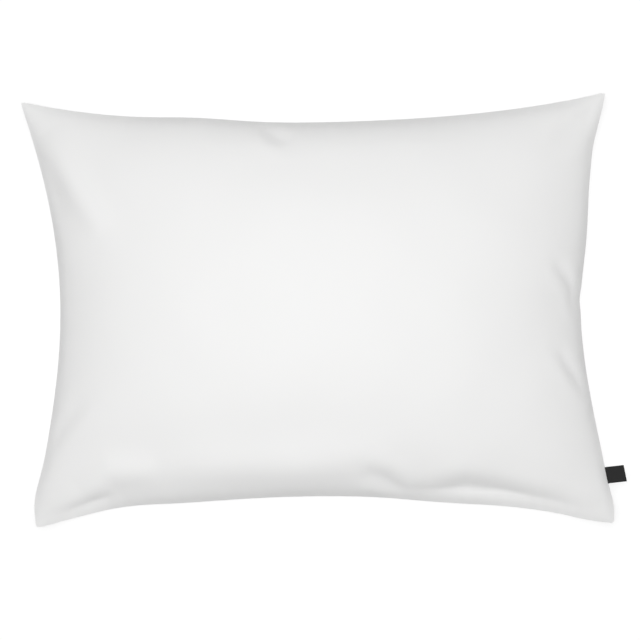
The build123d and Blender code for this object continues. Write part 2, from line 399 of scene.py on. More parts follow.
def make_mesh(name, points, faces, cloth=None, edges=()):
    """An object from points and faces, with cloth lengths in metres as its UV map."""
    mesh = bpy.data.meshes.new(name)
    mesh.from_pydata([tuple(p) for p in points], list(edges), faces)
    mesh.update()
    mesh.polygons.foreach_set("use_smooth", [True] * len(mesh.polygons))
    if cloth is not None:
        layer = mesh.uv_layers.new(name="cloth")
        corners = np.empty(len(mesh.loops), dtype=int)
        mesh.loops.foreach_get("vertex_index", corners)
        layer.data.foreach_set("uv", np.asarray(cloth, dtype=float)[corners].ravel())
    made = bpy.data.objects.new(name, mesh)
    bpy.context.scene.collection.objects.link(made)
    return made


def settle(made):
    """Turns an object's modifiers into plain mesh."""
    graph = bpy.context.evaluated_depsgraph_get()
    old = made.data
    new = bpy.data.meshes.new_from_object(made.evaluated_get(graph))
    made.modifiers.clear()
    made.data = new
    new.name = made.name
    bpy.data.meshes.remove(old)
    return made


def refine(made):
    """Divides a mesh once, smoothly."""
    smooth = made.modifiers.new("refine", "SUBSURF")
    smooth.levels = smooth.render_levels = 1
    smooth.boundary_smooth = "ALL"
    return settle(made)


def thicken(made, thickness):
    """Gives a sheet its thickness, inwards from its outer face."""
    wall = made.modifiers.new("thickness", "SOLIDIFY")
    wall.thickness = thickness
    wall.offset = -1
    wall.use_even_offset = False
    settle(made)
    made.data.set_sharp_from_angle(angle=SHARP_EDGE)
    return made


def coordinates(mesh):
    """A mesh's points as an array."""
    points = np.empty(3 * len(mesh.vertices))
    mesh.vertices.foreach_get("co", points)
    return points.reshape(-1, 3)


def cloth_lengths(mesh):
    """Each vertex's own place on the uncut cloth, read back from the UV map."""
    corners = np.empty(len(mesh.loops), dtype=int)
    mesh.loops.foreach_get("vertex_index", corners)
    pairs = np.empty(2 * len(mesh.loops))
    mesh.uv_layers["cloth"].data.foreach_get("uv", pairs)
    lengths = np.empty((len(mesh.vertices), 2))
    lengths[corners] = pairs.reshape(-1, 2)
    return lengths


def outward(mesh):
    """A mesh's normals at its points."""
    normals = np.empty(3 * len(mesh.vertices))
    mesh.vertex_normals.foreach_get("vector", normals)
    return normals.reshape(-1, 3)


def grid_faces(columns, rows, flip=False, first=0):
    """Quads of a net whose points run along its columns first."""
    faces = []
    for j in range(rows):
        for i in range(columns):
            a = first + j * (columns + 1) + i
            quad = (a, a + 1, a + columns + 2, a + columns + 1)
            faces.append(quad[::-1] if flip else quad)
    return faces


def cloth_net(rows, columns, cut):
    """Lengths along and across the cloth at a net's points, for a cut length and width."""
    along, across = np.meshgrid(np.linspace(0, cut[0], columns + 1), np.linspace(0, cut[1], rows + 1))
    return np.stack([along, across], axis=-1).reshape(-1, 2)


def sheet_from(name, net, cut, flip=False):
    """A sheet of cloth from a net of points, columns first, cut to a length and a width."""
    rows, columns = net.shape[0] - 1, net.shape[1] - 1
    faces = grid_faces(columns, rows, flip)
    return make_mesh(name, net.reshape(-1, 3), faces, cloth_net(rows, columns, cut))


def sewn(upper, lower):
    """Two nets joined along their edges: points, faces, the net points that are kept, where each
    net point is among them, and the net points on the seam."""
    rows, columns = upper.shape[0] - 1, upper.shape[1] - 1
    count = (rows + 1) * (columns + 1)
    number = np.arange(2 * count)
    net = number[:count].reshape(rows + 1, columns + 1)
    seam = np.unique(np.concatenate([net[0], net[-1], net[:, 0], net[:, -1]]))
    number[seam + count] = seam
    kept = np.unique(number)
    place = np.searchsorted(kept, number)
    faces = grid_faces(columns, rows) + grid_faces(columns, rows, True, count)
    faces = [tuple(int(place[k]) for k in face) for face in faces]
    points = np.concatenate([upper.reshape(-1, 3), lower.reshape(-1, 3)])[kept]
    return points, faces, kept, place, seam


def closed_from(name, upper, lower, cut):
    """A closed cushion from an upper and a lower net that share their edges."""
    points, faces, kept, _, _ = sewn(upper, lower)
    cloth = cloth_net(upper.shape[0] - 1, upper.shape[1] - 1, cut)
    return make_mesh(name, points, faces, np.concatenate([cloth, cloth])[kept])


def finish_piece(piece, body, slot, *nodes):
    """Gives a piece its finish, its body and the CAD nodes that it stands for."""
    piece.data.materials.clear()
    piece.data.materials.append(finish_named(slot))
    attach(piece, body)
    if nodes:
        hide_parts(*nodes)
    return piece


# ---------------------------------------------------------------- the sewn outline
SIDE_ENDS = {"bottom": (0, 1), "right": (1, 2), "top": (3, 2), "left": (0, 3)}
INWARDS = {"bottom": (0, 1), "right": (-1, 0), "top": (0, -1), "left": (1, 0)}


def seam_line():
    """The CAD case's seam line as points in plan, once round, from its outer faces' lower edge."""
    mesh = frame["nodes"]["case_front_panel"].data
    points = coordinates(mesh)
    mesh.calc_loop_triangles()
    found = set()
    for triangle in mesh.loop_triangles:
        low = [k for k in triangle.vertices if abs(points[k][2] - SEAM_Z) < 0.01 * MM]
        middle = points[list(triangle.vertices)].mean(axis=0)
        normal = triangle.normal
        if len(low) == 2 and normal.z > 0.01 and normal.x * middle[0] + normal.y * middle[1] > 0:
            found.update(tuple(points[k][:2].round(6)) for k in low)
    line = np.array(list(found))
    return line[np.argsort(np.arctan2(line[:, 1], line[:, 0]))]


def case_sides():
    """The four sides between the seam line's corners, left to right or bottom to top."""
    line = seam_line()
    ways = ((-1, -1), (1, -1), (1, 1), (-1, 1))
    corners = [int(np.argmax(line @ np.array(way))) for way in ways]
    sides = {}
    for side, (first, last) in SIDE_ENDS.items():
        start, end = corners[first], corners[last]
        if side in ("top", "left"):
            start, end = end, start
        stretch = np.arange(start, end + 1 + (len(line) if end < start else 0)) % len(line)
        points = line[stretch]
        sides[side] = points[::-1] if side in ("top", "left") else points
    return sides


def evenly(points, count):
    """The same line, divided into equal lengths."""
    steps = np.linalg.norm(np.diff(points, axis=0), axis=1)
    length = np.concatenate([[0], np.cumsum(steps)])
    wanted = np.linspace(0, length[-1], count + 1)
    return np.stack([np.interp(wanted, length, points[:, k]) for k in range(points.shape[1])], axis=1)


def inset(sides, side_gap, ear_gap):
    """The sides moved inwards, further at the ears than along the sides."""
    moved = {}
    for side, points in sides.items():
        t = np.linspace(0, 1, len(points))[:, None]
        swell = (1 - t**5 - (1 - t) ** 5) / (1 - 2 * 0.5**5)
        inwards = np.array(INWARDS[side], dtype=float)
        lengthwise = abs(inwards[::-1])
        moved[side] = (
            points
            + inwards * (ear_gap + (side_gap - ear_gap) * swell)
            + lengthwise * (1 - 2 * t) * ear_gap
        )
    return moved


def patch(sides):
    """A net of plan points spanned between four sides."""
    low, right, high, left = (sides[side] for side in SIDE_ENDS)
    u = np.linspace(0, 1, len(low))[None, :, None]
    v = np.linspace(0, 1, len(left))[:, None, None]
    ruled = (1 - v) * low[None] + v * high[None] + (1 - u) * left[:, None] + u * right[:, None]
    ends = (1 - u) * (1 - v) * low[0] + u * (1 - v) * low[-1]
    return ruled - ends - (1 - u) * v * high[0] - u * v * high[-1]


# ---------------------------------------------------------------- filling the case
START_POWER = 2.4  # the higher, the flatter the crown that the solver starts from
HEAP_POWER = 0.75  # the lower, the rounder the heap of filling
BACK_FULLNESS = 0.98  # share of the seam's height that the back hangs down at the start
SWELL_FADE = 3  # cells beside a corner over which a side's swell fades out
BED_CONTACT = 0.002
_filled = {}


def bulge(columns, rows):
    """Starting height of the filled case over its net, from 0 on the seam to 1 at the crown."""
    u = abs(2 * np.linspace(0, 1, columns + 1) - 1)[None]
    v = abs(2 * np.linspace(0, 1, rows + 1) - 1)[:, None]
    return np.sqrt((1 - u**START_POWER) * (1 - v**START_POWER))


def heaped(columns, rows):
    """Height of the filling where it heaps up in the middle, from 0 to 1."""
    u = 2 * np.linspace(0, 1, columns + 1)[None] - 1
    v = 2 * np.linspace(0, 1, rows + 1)[:, None] - 1
    return ((1 - u**2) * (1 - v**2)) ** HEAP_POWER


def inflate(upper, lower, settings):
    """Blows the sewn case up with the cloth solver and lets it press on the bed."""
    rows, columns = upper.shape[0] - 1, upper.shape[1] - 1
    count = (rows + 1) * (columns + 1)
    points, faces, kept, place, edges = sewn(upper, lower)
    scene = bpy.context.scene

    case = make_mesh("case_blank", points, faces)
    case.shape_key_add(name="filled")
    cut = case.shape_key_add(name="cut")
    length, width = settings.cut_length * settings.tautness, settings.cut_width * settings.tautness
    x, y = np.meshgrid(np.linspace(-0.5, 0.5, columns + 1), np.linspace(-0.5, 0.5, rows + 1))
    apart = 0.5 * MM
    layers = [np.stack([x * length, y * width, np.full_like(x, SEAM_Z + lift)], axis=-1)
              for lift in (apart, -apart)]
    flat = np.concatenate([layer.reshape(-1, 3) for layer in layers])
    flat[edges, 2] = SEAM_Z
    cut.data.foreach_set("co", flat[kept].ravel())
    seam = case.vertex_groups.new(name="seam")
    seam.add([int(place[k]) for k in edges], 1.0, "REPLACE")

    reach = 2.0
    corners = [(-reach, -reach, 0), (reach, -reach, 0), (reach, reach, 0), (-reach, reach, 0)]
    bed = make_mesh("bed_blank", corners, [(0, 1, 2, 3)])
    bed.modifiers.new("bed", "COLLISION")
    bed.collision.thickness_outer = BED_CONTACT / 2

    solver = case.modifiers.new("cloth", "CLOTH")
    cloth = solver.settings
    cloth.rest_shape_key = cut
    cloth.vertex_group_mass = "seam"
    cloth.quality = 6
    cloth.mass = 0.0003
    cloth.tension_stiffness = 30
    cloth.compression_stiffness = 10
    cloth.shear_stiffness = 10
    cloth.bending_stiffness = 1
    cloth.tension_damping = cloth.compression_damping = cloth.shear_damping = 5
    cloth.bending_damping = 0.5
    cloth.air_damping = 2
    cloth.use_pressure = True
    cloth.uniform_pressure_force = settings.pressure
    cloth.effector_weights.gravity = 0.3
    solver.collision_settings.distance_min = BED_CONTACT / 2
    solver.point_cache.frame_start = 1
    solver.point_cache.frame_end = settings.frames
    for step in range(1, settings.frames + 1):
        scene.frame_set(step)
    evaluated = case.evaluated_get(bpy.context.evaluated_depsgraph_get())
    result = coordinates(evaluated.to_mesh())[place]
    evaluated.to_mesh_clear()
    for blank in (case, bed):
        data = blank.data
        bpy.data.objects.remove(blank)
        bpy.data.meshes.remove(data)
    scene.frame_set(1)
    shape = upper.shape
    return result[:count].reshape(shape), result[count:].reshape(shape)


def filled_case():
    """Nets of the front and back cloth of the filled case, made once."""
    if _filled:
        return _filled["front"], _filled["back"]
    settings = bpy.context.scene.pillow.case
    sides = case_sides()
    for side in ("bottom", "top"):
        sides[side] = evenly(sides[side], settings.columns)
    for side in ("right", "left"):
        sides[side] = evenly(sides[side], settings.rows)
    for side, place, reach, out in SWELLS:
        points = sides[side]
        inwards = np.array(INWARDS[side])
        run = points[:, 0] if inwards[0] == 0 else points[:, 1]
        room = np.minimum(np.arange(len(run)), np.arange(len(run))[::-1]) / SWELL_FADE
        swell = np.exp(-(((run - place * MM) / (reach * MM)) ** 2)) * np.clip(room, 0, 1)
        points -= inwards * (swell * out * MM)[:, None]
    plan = patch(sides)
    height = bulge(settings.columns, settings.rows)
    front = np.dstack([plan, SEAM_Z + CROWN_RISE * height])
    back = np.dstack([plan, SEAM_Z * (1 - BACK_FULLNESS * height)])
    front, back = inflate(front, back, settings)
    heap = SEAM_Z + (front[..., 2].max() - SEAM_Z) * heaped(settings.columns, settings.rows)
    front[..., 2] += (heap - front[..., 2]) * settings.heap
    low = back[..., 2].min()
    back[..., 2] -= low * np.clip((SEAM_Z - back[..., 2]) / (SEAM_Z - low), 0, 1)
    _filled.update(front=front, back=back, sides=sides)
    return front, back


def seam_sides():
    """The four sides of the filled case, in plan."""
    filled_case()
    return _filled["sides"]


def creased(net):
    """A coarse net of the front with the creases pressed into it."""
    net = net.copy()
    plan = net[..., :2].reshape(-1, 2) / MM
    for path, width, depth in CREASES:
        dip = np.minimum(crease(plan, path, width, depth), 0) * MM
        net[..., 2] += dip.reshape(net.shape[:2])
    return net


def layer_inside(side_gap, ear_gap, depth):
    """The same two nets for a layer inside the case, with its own outline."""
    front, back = filled_case()
    front = creased(front)
    sides = seam_sides()
    shift = patch(inset(sides, side_gap, ear_gap)) - patch(sides)
    nets = []
    for net, limit in ((front, CROWN_RISE), (back, SEAM_Z)):
        inner = net.copy()
        inner[..., :2] += shift
        rise = inner[..., 2] - SEAM_Z
        inner[..., 2] = SEAM_Z + rise * (1 - depth / limit)
        nets.append(inner)
    return nets


def under_the_back():
    """The net that the flap lies on, just inside the back cloth and clear of its ears."""
    return layer_inside(2 * MM, 24 * MM, 2 * MM)[1]


# ---------------------------------------------------------------- shape of the cloth
# Folds of the front: points along the fold in mm, its half width, and its depth in mm, which
# is less than nothing for a ridge.
CREASES = (
    (((-312, 205), (-275, 142), (-240, 84)), 17, -7.5),
    (((-314, 176), (-303, 140), (-297, 98)), 13, 1.2),
    (((-318, -165), (-290, -128), (-262, -96)), 9, 2.0),
    (((-272, -204), (-236, -180), (-176, -180)), 16, -5.5),
    (((-304, -246), (-266, -226), (-230, -210)), 10, 6.0),
    (((-190, -176), (-20, -172), (56, -166), (88, -178)), 24, -7.0),
    (((48, -176), (78, -194), (100, -215)), 11, 4.5),
    (((88, -216), (130, -213), (165, -203), (200, -210), (261, -225), (318, -242)), 14, 6.0),
    (((100, -206), (200, -202), (300, -226)), 24, 3.5),
    (((264, 58), (280, 40), (297, 16)), 7, 2.6),
    (((284, 24), (292, 4), (297, -12)), 6, 1.6),
    (((267, -40), (286, -66), (307, -98)), 7, 2.6),
    (((-64, 214), (-51, 199), (-34, 188)), 9, 3.2),
    (((-190, 196), (-20, 188), (180, 196)), 22, -2.0),
    (((322, 246), (300, 218), (262, 190)), 12, 3.0),
)
# Where a side of the filled case stands out of its even curve: the side, how far along X or Y
# and how wide that place is, and how far it stands out, in mm.
SWELLS = (
    ("top", -140, 62, 4.0),
    ("bottom", -225, 55, -5.0),
    ("bottom", 140, 62, 3.0),
    ("bottom", 305, 28, 2.0),
    ("left", -215, 32, 4.5),
    ("right", 85, 60, 6.5),
    ("right", 14, 9, -1.6),
    ("right", 190, 22, -1.5),
    ("right", -222, 17, 2.5),
)


# Where the cloth is pressed flat in the ears, how flat, and the small roll along the seam there.
EAR_EDGE = 0.006
EAR_REACH = 0.11
EAR_FLATNESS = 0.9
SEAM_ROLL = 0.0016
ROLL_START = 0.002
ROLL_REACH = 0.012

# Low rolls beside a valley and a ridge, as shares of its depth, and how many widths away.
VALLEY_ROLL = 0.35
RIDGE_ROLL = 0.1
ROLL_AT = 1.9

# Puckers beside the seams, slow lumps of the filling, and the step of the hem, in metres.
PUCKER_LENGTHS = (0.014, 0.021, 0.033, 0.052)
PUCKER_REACH = 0.011
PUCKER_START = 0.002
PUCKER_SCALE = 1.6
LUMPS = 14
LUMP_LENGTHS = (0.07, 0.19)
LUMP_HEIGHT = 0.0022
SEAM_FADE = 0.013
HEM_STEP = 0.0015
HEM_ROUND = 0.004
HEM_LAYERS = 1.2


def nearest(points, path):
    """Distance of each plan point from a path, and how far along the path it is, 0 to 1."""
    path = np.array(path, dtype=float)
    lengths = np.linalg.norm(np.diff(path, axis=0), axis=1)
    start = np.concatenate([[0], np.cumsum(lengths)])
    best = np.full(len(points), np.inf)
    where = np.zeros(len(points))
    for a, b, length, before in zip(path, path[1:], lengths, start):
        along = np.clip(((points - a) @ (b - a)) / length**2, 0, 1)
        distance = np.linalg.norm(points - a - along[:, None] * (b - a), axis=1)
        closer = distance < best
        best[closer] = distance[closer]
        where[closer] = (before + along[closer] * length) / start[-1]
    return best, where


def crease(points, path, width, depth):
    """A soft valley with a low roll on each side, fading out at its ends."""
    distance, along = nearest(points, path)
    fade = np.sin(np.pi * np.clip(along, 0.02, 0.98)) ** 0.7
    valley = np.exp(-((distance / width) ** 2))
    share = VALLEY_ROLL if depth > 0 else RIDGE_ROLL
    roll = share * np.exp(-(((distance - ROLL_AT * width) / width) ** 2))
    return depth * fade * (roll - valley)


def gathers(lengths, cut, height):
    """Small uneven puckers that run in from the sewn seams."""
    waves = np.random.RandomState(11)
    total = np.zeros(len(lengths))
    for axis in (0, 1):
        run, other = lengths[:, axis], lengths[:, 1 - axis]
        for edge in (0, cut[1 - axis]):
            distance = abs(other - edge)
            ripple = np.zeros(len(lengths))
            for length in PUCKER_LENGTHS:
                phase = waves.uniform(0, 2 * math.pi)
                ripple += np.sin(2 * math.pi * run / length + phase) * waves.uniform(0.4, 1.0)
            rise = np.exp(-distance / PUCKER_REACH) * (1 - np.exp(-distance / PUCKER_START))
            total += ripple * rise / PUCKER_SCALE
    return total * height


def unevenness(points, height):
    """Slow lumps of the filling under the cloth."""
    waves = np.random.RandomState(5)
    total = np.zeros(len(points))
    for _ in range(LUMPS):
        angle = waves.uniform(0, math.pi)
        length = waves.uniform(*LUMP_LENGTHS)
        way = np.array([math.cos(angle), math.sin(angle)])
        total += np.sin(2 * math.pi * (points[:, :2] @ way) / length + waves.uniform(0, 6.3))
    return total / LUMPS * height


def from_edges(lengths, cut):
    """Distance of each point of the cloth from its nearest edge, and from the other sides' edge."""
    along = np.minimum(lengths[:, 0], cut[0] - lengths[:, 0])
    across = np.minimum(lengths[:, 1], cut[1] - lengths[:, 1])
    return np.minimum(along, across), np.maximum(along, across)


def edge_fade(lengths, cut, reach):
    """0 on the seam, 1 further in than reach."""
    near, _ = from_edges(lengths, cut)
    return np.clip(near / reach, 0, 1) ** 1.2


def pressed_ears(lengths, cut):
    """How far the cloth beside the seams is pressed flat: only in the ears at the corners."""
    near, far = from_edges(lengths, cut)
    return EAR_FLATNESS * np.exp(-near / EAR_EDGE) * np.exp(-((far / EAR_REACH) ** 2))


def rolled_edge(lengths, cut):
    """The turned cloth inside the seam keeps the edge of the ears round."""
    near, far = from_edges(lengths, cut)
    roll = (1 - np.exp(-near / ROLL_START)) * np.exp(-((near / ROLL_REACH) ** 2))
    return roll * np.exp(-((far / EAR_REACH) ** 2))


def shape_cloth(piece, cut, creases, hem=None):
    """Moves a fine sheet's points along their normals: creases, puckers, lumps and the hem's step."""
    way = 1 if creases else -1
    settings = bpy.context.scene.pillow.case
    mesh = piece.data
    points = coordinates(mesh)
    lengths = cloth_lengths(mesh)
    offset = unevenness(points, LUMP_HEIGHT)
    for path, width, depth in creases:
        offset += crease(points[:, :2] / MM, path, width, depth) * MM
    offset *= edge_fade(lengths, cut, SEAM_FADE)
    offset += gathers(lengths, cut, settings.pucker)
    if hem is not None:
        inner = np.clip((hem - lengths[:, 0]) / HEM_STEP, 0, 1)
        outer = np.clip(lengths[:, 0] / HEM_ROUND, 0, 1)
        offset += inner * outer * HEM_LAYERS * settings.cloth
    moved = points + outward(mesh) * offset[:, None]
    flat = pressed_ears(lengths, cut)
    roll = SEAM_ROLL * way * rolled_edge(lengths, cut)
    moved[:, 2] = SEAM_Z + (moved[:, 2] - SEAM_Z) * (1 - flat) + roll
    moved[:, 2] = np.maximum(moved[:, 2], 0)
    mesh.vertices.foreach_set("co", moved.ravel())
    mesh.update()
    return piece


def allowance_strip(name, rise, sides_sewn, flip):
    """The turned-in edge along the seams, as its own narrow sheet."""
    settings = bpy.context.scene.pillow.case
    near = inset(seam_sides(), 0.6 * MM, 1.2 * MM)
    far = inset(seam_sides(), settings.allowance, settings.allowance)
    strips = []
    for side in sides_sewn:
        net = np.stack([near[side], far[side]])
        net = np.dstack([net, np.full(net.shape[:2], SEAM_Z + rise)])
        turn = flip != (side in ("top", "left"))
        strip = sheet_from(f"{name}_{side}", net, (settings.cut_length, settings.allowance), turn)
        strips.append(thicken(strip, settings.cloth))
    return strips


def join(main, others):
    """Joins the others into main."""
    with bpy.context.temp_override(active_object=main, selected_editable_objects=[main, *others]):
        bpy.ops.object.join()
    return main


# ---------------------------------------------------------------- stitches
def stitch_tree():
    """A row of stitches along a line: resampled, one thread bulge per point, realised."""
    tree = bpy.data.node_groups.get("row_of_stitches")
    if tree is not None:
        return tree
    tree = bpy.data.node_groups.new("row_of_stitches", "GeometryNodeTree")
    sockets = (
        ("Line", "NodeSocketGeometry", "INPUT"),
        ("Pitch", "NodeSocketFloat", "INPUT"),
        ("Stitch Length", "NodeSocketFloat", "INPUT"),
        ("Thread Radius", "NodeSocketFloat", "INPUT"),
        ("Seed", "NodeSocketInt", "INPUT"),
        ("Thread", "NodeSocketMaterial", "INPUT"),
        ("Stitches", "NodeSocketGeometry", "OUTPUT"),
    )
    for name, kind, way in sockets:
        tree.interface.new_socket(name=name, in_out=way, socket_type=kind)

    def add(kind, inputs=(), **settings):
        made = tree.nodes.new(kind)
        for key, value in settings.items():
            setattr(made, key, value)
        for key, value in inputs:
            if isinstance(value, bpy.types.NodeSocket):
                tree.links.new(value, made.inputs[key])
            else:
                made.inputs[key].default_value = value
        return made

    given = add("NodeGroupInput").outputs
    line = add("GeometryNodeMeshToCurve", [("Mesh", given["Line"])])
    points = add("GeometryNodeResampleCurve",
                 [("Curve", line.outputs[0]), ("Length", given["Pitch"])], mode="LENGTH")
    tangent = add("GeometryNodeInputTangent")
    turn = add("FunctionNodeAlignRotationToVector", [("Vector", tangent.outputs[0])], axis="X")
    half = add("ShaderNodeMath", [(0, given["Stitch Length"]), (1, 0.5)], operation="MULTIPLY")
    size = add("ShaderNodeCombineXYZ", [(0, half.outputs[0]), (1, given["Thread Radius"]),
                                        (2, given["Thread Radius"])])
    uneven = add("FunctionNodeRandomValue", [("Seed", given["Seed"])], data_type="FLOAT")
    uneven.inputs[2].default_value = 0.9
    uneven.inputs[3].default_value = 1.08
    scaled = add("ShaderNodeVectorMath", [(0, size.outputs[0]), ("Scale", uneven.outputs[1])],
                 operation="SCALE")
    bead = add("GeometryNodeMeshUVSphere", [("Segments", 6), ("Rings", 4), ("Radius", 1.0)])
    row = add("GeometryNodeInstanceOnPoints",
              [("Points", points.outputs[0]), ("Instance", bead.outputs[0]),
               ("Rotation", turn.outputs[0]), ("Scale", scaled.outputs[0])])
    real = add("GeometryNodeRealizeInstances", [("Geometry", row.outputs[0])])
    coloured = add("GeometryNodeSetMaterial", [(0, real.outputs[0]), ("Material", given["Thread"])])
    add("NodeGroupOutput", [("Stitches", coloured.outputs[0])])
    return tree


def sew(name, lines, *nodes):
    """Rows of stitches along lines of points, as one plain mesh."""
    settings = bpy.context.scene.pillow.stitches
    points = np.concatenate(lines)
    edges = []
    first = 0
    for line in lines:
        edges += [(first + k, first + k + 1) for k in range(len(line) - 1)]
        first += len(line)
    piece = make_mesh(name, points, [], None, edges)
    rows = piece.modifiers.new("stitches", "NODES")
    rows.node_group = stitch_tree()
    values = {
        "Pitch": settings.pitch,
        "Stitch Length": settings.length,
        "Thread Radius": settings.thread,
        "Seed": settings.seed,
        "Thread": finish_named("sewing_thread"),
    }
    for item in rows.node_group.interface.items_tree:
        if item.in_out == "INPUT" and item.name in values:
            rows[item.identifier] = values[item.name]
    settle(piece)
    piece.data.polygons.foreach_set("use_smooth", [True] * len(piece.data.polygons))
    return finish_piece(piece, PILLOW, "sewing_thread", *nodes)


def seam_rows(sides, names, rise):
    """A row above and a row below the seam plane along some sides."""
    rows = []
    for side in names:
        for height in (rise, -rise):
            line = sides[side]
            rows.append(np.column_stack([line, np.full(len(line), SEAM_Z + height)]))
    return rows


def row_at(net, distance, trim=0):
    """The line across a net at a distance from its mouth end."""
    line = []
    for row in net[trim:len(net) - trim or None]:
        steps = np.linalg.norm(np.diff(row, axis=0), axis=1)
        length = np.concatenate([[0], np.cumsum(steps)])
        line.append([np.interp(distance, length, row[:, k]) for k in range(3)])
    return np.array(line)


# ---------------------------------------------------------------- operators
class PILLOW_OT_case(bpy.types.Operator):
    """Sews the case's front and back, fills them and gives them their creases and puckers"""

    bl_idname = "pillow.case"
    bl_label = "Sew and Fill the Case"

    def execute(self, context):
        settings = context.scene.pillow.case
        cut = (settings.cut_length, settings.cut_width)
        front_net, back_net = filled_case()

        front = shape_cloth(refine(sheet_from("case_front", front_net, cut)), cut, CREASES)
        thicken(front, settings.cloth)
        join(front, allowance_strip("front", settings.cloth, ("bottom", "right", "top"), False))

        mouth_gap = 0.0012
        back_net = back_net.copy()
        back_net[:, 0, 0] += mouth_gap
        back_net[:, 0, 2] -= mouth_gap
        back = shape_cloth(refine(sheet_from("case_back", back_net, cut, True)), cut, (), settings.hem)
        thicken(back, settings.cloth)
        join(back, allowance_strip("back", -settings.cloth, ("bottom", "right", "top"), True))

        for piece, node in ((front, "case_front_panel"), (back, "case_back_panel")):
            finish_piece(piece, PILLOW, "case_cotton", node)
        return {"FINISHED"}


class PILLOW_OT_flap(bpy.types.Operator):
    """Folds the end of the front cloth in at the mouth"""

    bl_idname = "pillow.flap"
    bl_label = "Fold in the Flap"

    def execute(self, context):
        settings = context.scene.pillow.case
        columns = round(settings.flap / settings.cut_length * settings.columns)
        net = under_the_back()[:, :columns + 1]
        cut = (settings.flap, settings.cut_width)
        flap = thicken(refine(sheet_from("case_flap", net, cut, True)), settings.cloth)
        finish_piece(flap, PILLOW, "case_cotton", "case_tuck_flap")
        return {"FINISHED"}


class PILLOW_OT_case_stitches(bpy.types.Operator):
    """Sews the case's seams, the mouth's hem and the flap's hem"""

    bl_idname = "pillow.case_stitches"
    bl_label = "Stitch the Case"

    def execute(self, context):
        settings = context.scene.pillow.case
        _, back = filled_case()
        stitch_line = inset(seam_sides(), settings.allowance / 2, settings.allowance / 2)
        sewn = seam_rows(stitch_line, ("bottom", "right", "top"), 2 * settings.cloth)
        sew("case_seam_stitches", sewn, "case_seam_thread")

        hem = row_at(back, settings.hem - 3 * MM, 4)
        hem[:, 2] -= 0.7 * settings.cloth
        hem[:, 2] = np.maximum(hem[:, 2], 0.1 * MM)
        sew("case_hem_stitches", [hem], "case_hem_thread")

        flap = row_at(under_the_back(), settings.flap - 12 * MM, 5)
        sew("flap_hem_stitches", [flap], "flap_hem_thread")
        return {"FINISHED"}


# The label's free part and its caught part meet this far inside the hinge line.
LABEL_BITE = 0.0007


def ribbon_sheet(name, centre_line, width, place, lean=0.0):
    """A ribbon from a centre line given as out-of-seam and upward lengths."""
    steps = 12
    across = np.linspace(-width / 2, width / 2, steps + 1)
    net = np.empty((steps + 1, len(centre_line), 3))
    for j, sideways in enumerate(across):
        for i, (out, up) in enumerate(centre_line):
            slide = sideways - lean * max(out, 0)
            net[j, i] = place + OUT_OF_SEAM * out + ALONG_SEAM * slide + np.array([0, 0, up])
    run = np.linalg.norm(np.diff(centre_line, axis=0), axis=1).sum()
    return sheet_from(name, net, (run, width)), run


class PILLOW_OT_side_label(bpy.types.Operator):
    """Folds the woven side label and catches its ends in the seam"""

    bl_idname = "pillow.side_label"
    bl_label = "Fold the Side Label"

    def execute(self, context):
        settings = context.scene.pillow.labels
        reach = float(np.dot(FLAG_HIGH[:2] - LABEL_ROOT[:2], OUT_OF_SEAM[:2]))
        half = 0.00055
        fold = reach - half - 0.0012

        def hang(out):
            return -settings.droop * (max(out, 0) / reach) ** 2

        def apart(out):
            """Half the room between the two leaves, which widens towards the fold."""
            return half * (0.55 + 0.45 * math.sin(math.pi * out / fold / 2))

        steps = np.linspace(-LABEL_BITE, fold, 14)
        turn = np.linspace(math.pi / 2, -math.pi / 2, 9)
        upper = [(out, hang(out) + apart(out)) for out in steps]
        bend = [(fold + half * math.cos(a), hang(fold) + half * math.sin(a)) for a in turn[1:-1]]
        lower = [(out, hang(out) - apart(out)) for out in steps[::-1]]
        folded = np.array(upper + bend + lower)
        flag, run = ribbon_sheet("side_label_flag", folded, settings.width, LABEL_ROOT, settings.lean)
        thicken(flag, settings.ribbon)
        finish_piece(flag, FLAG, "label_ribbon", "side_label")

        outer, inner = -LABEL_BITE, -settings.tail
        leaves = []
        for up, ends in ((0.3 * MM, (outer, inner)), (-0.3 * MM, (inner, outer))):
            line = np.array([(out, up) for out in np.linspace(*ends, 8)])
            leaf, run = ribbon_sheet(f"tail_{len(leaves)}", line, settings.width, LABEL_ROOT)
            leaves.append(thicken(leaf, settings.ribbon))
        tail = join(leaves[0], leaves[1:])
        tail.name = tail.data.name = "side_label_ends"
        finish_piece(tail, PILLOW, "label_ribbon", "side_label_tail")
        return {"FINISHED"}


def care_label(name, net, node, lift):
    """A small label laid on a net of cloth over the space of its CAD node."""
    settings = bpy.context.scene.pillow.labels
    low, high = span(node)
    steps = 8
    flat = net.reshape(-1, 3)
    grid = np.empty((steps + 1, steps + 1, 3))
    for j, y in enumerate(np.linspace(low[1], high[1], steps + 1)):
        for i, x in enumerate(np.linspace(low[0], high[0], steps + 1)):
            distance = np.hypot(flat[:, 0] - x, flat[:, 1] - y)
            near = np.argsort(distance)[:6]
            weight = 1 / (distance[near] + 1e-5)
            grid[j, i] = (x, y, (flat[near, 2] * weight).sum() / weight.sum() + lift)
    piece = sheet_from(name, grid, (settings.care_width, settings.care_length))
    thicken(refine(piece), 0.25 * MM)
    finish_piece(piece, PILLOW, "care_tape", node)
    return piece


class PILLOW_OT_care_labels(bpy.types.Operator):
    """Sews a blank care label inside the case and one on the insert"""

    bl_idname = "pillow.care_labels"
    bl_label = "Sew the Care Labels"

    def execute(self, context):
        front, _ = filled_case()
        settings = context.scene.pillow.insert
        ticking, _ = layer_inside(settings.side_gap, INSERT_EAR_GAP, settings.depth)
        care_label("case_care_tab", creased(front), "case_care_label", -1.2 * MM)
        care_label("insert_care_tab", ticking, "insert_care_label", 0.5 * MM)
        return {"FINISHED"}


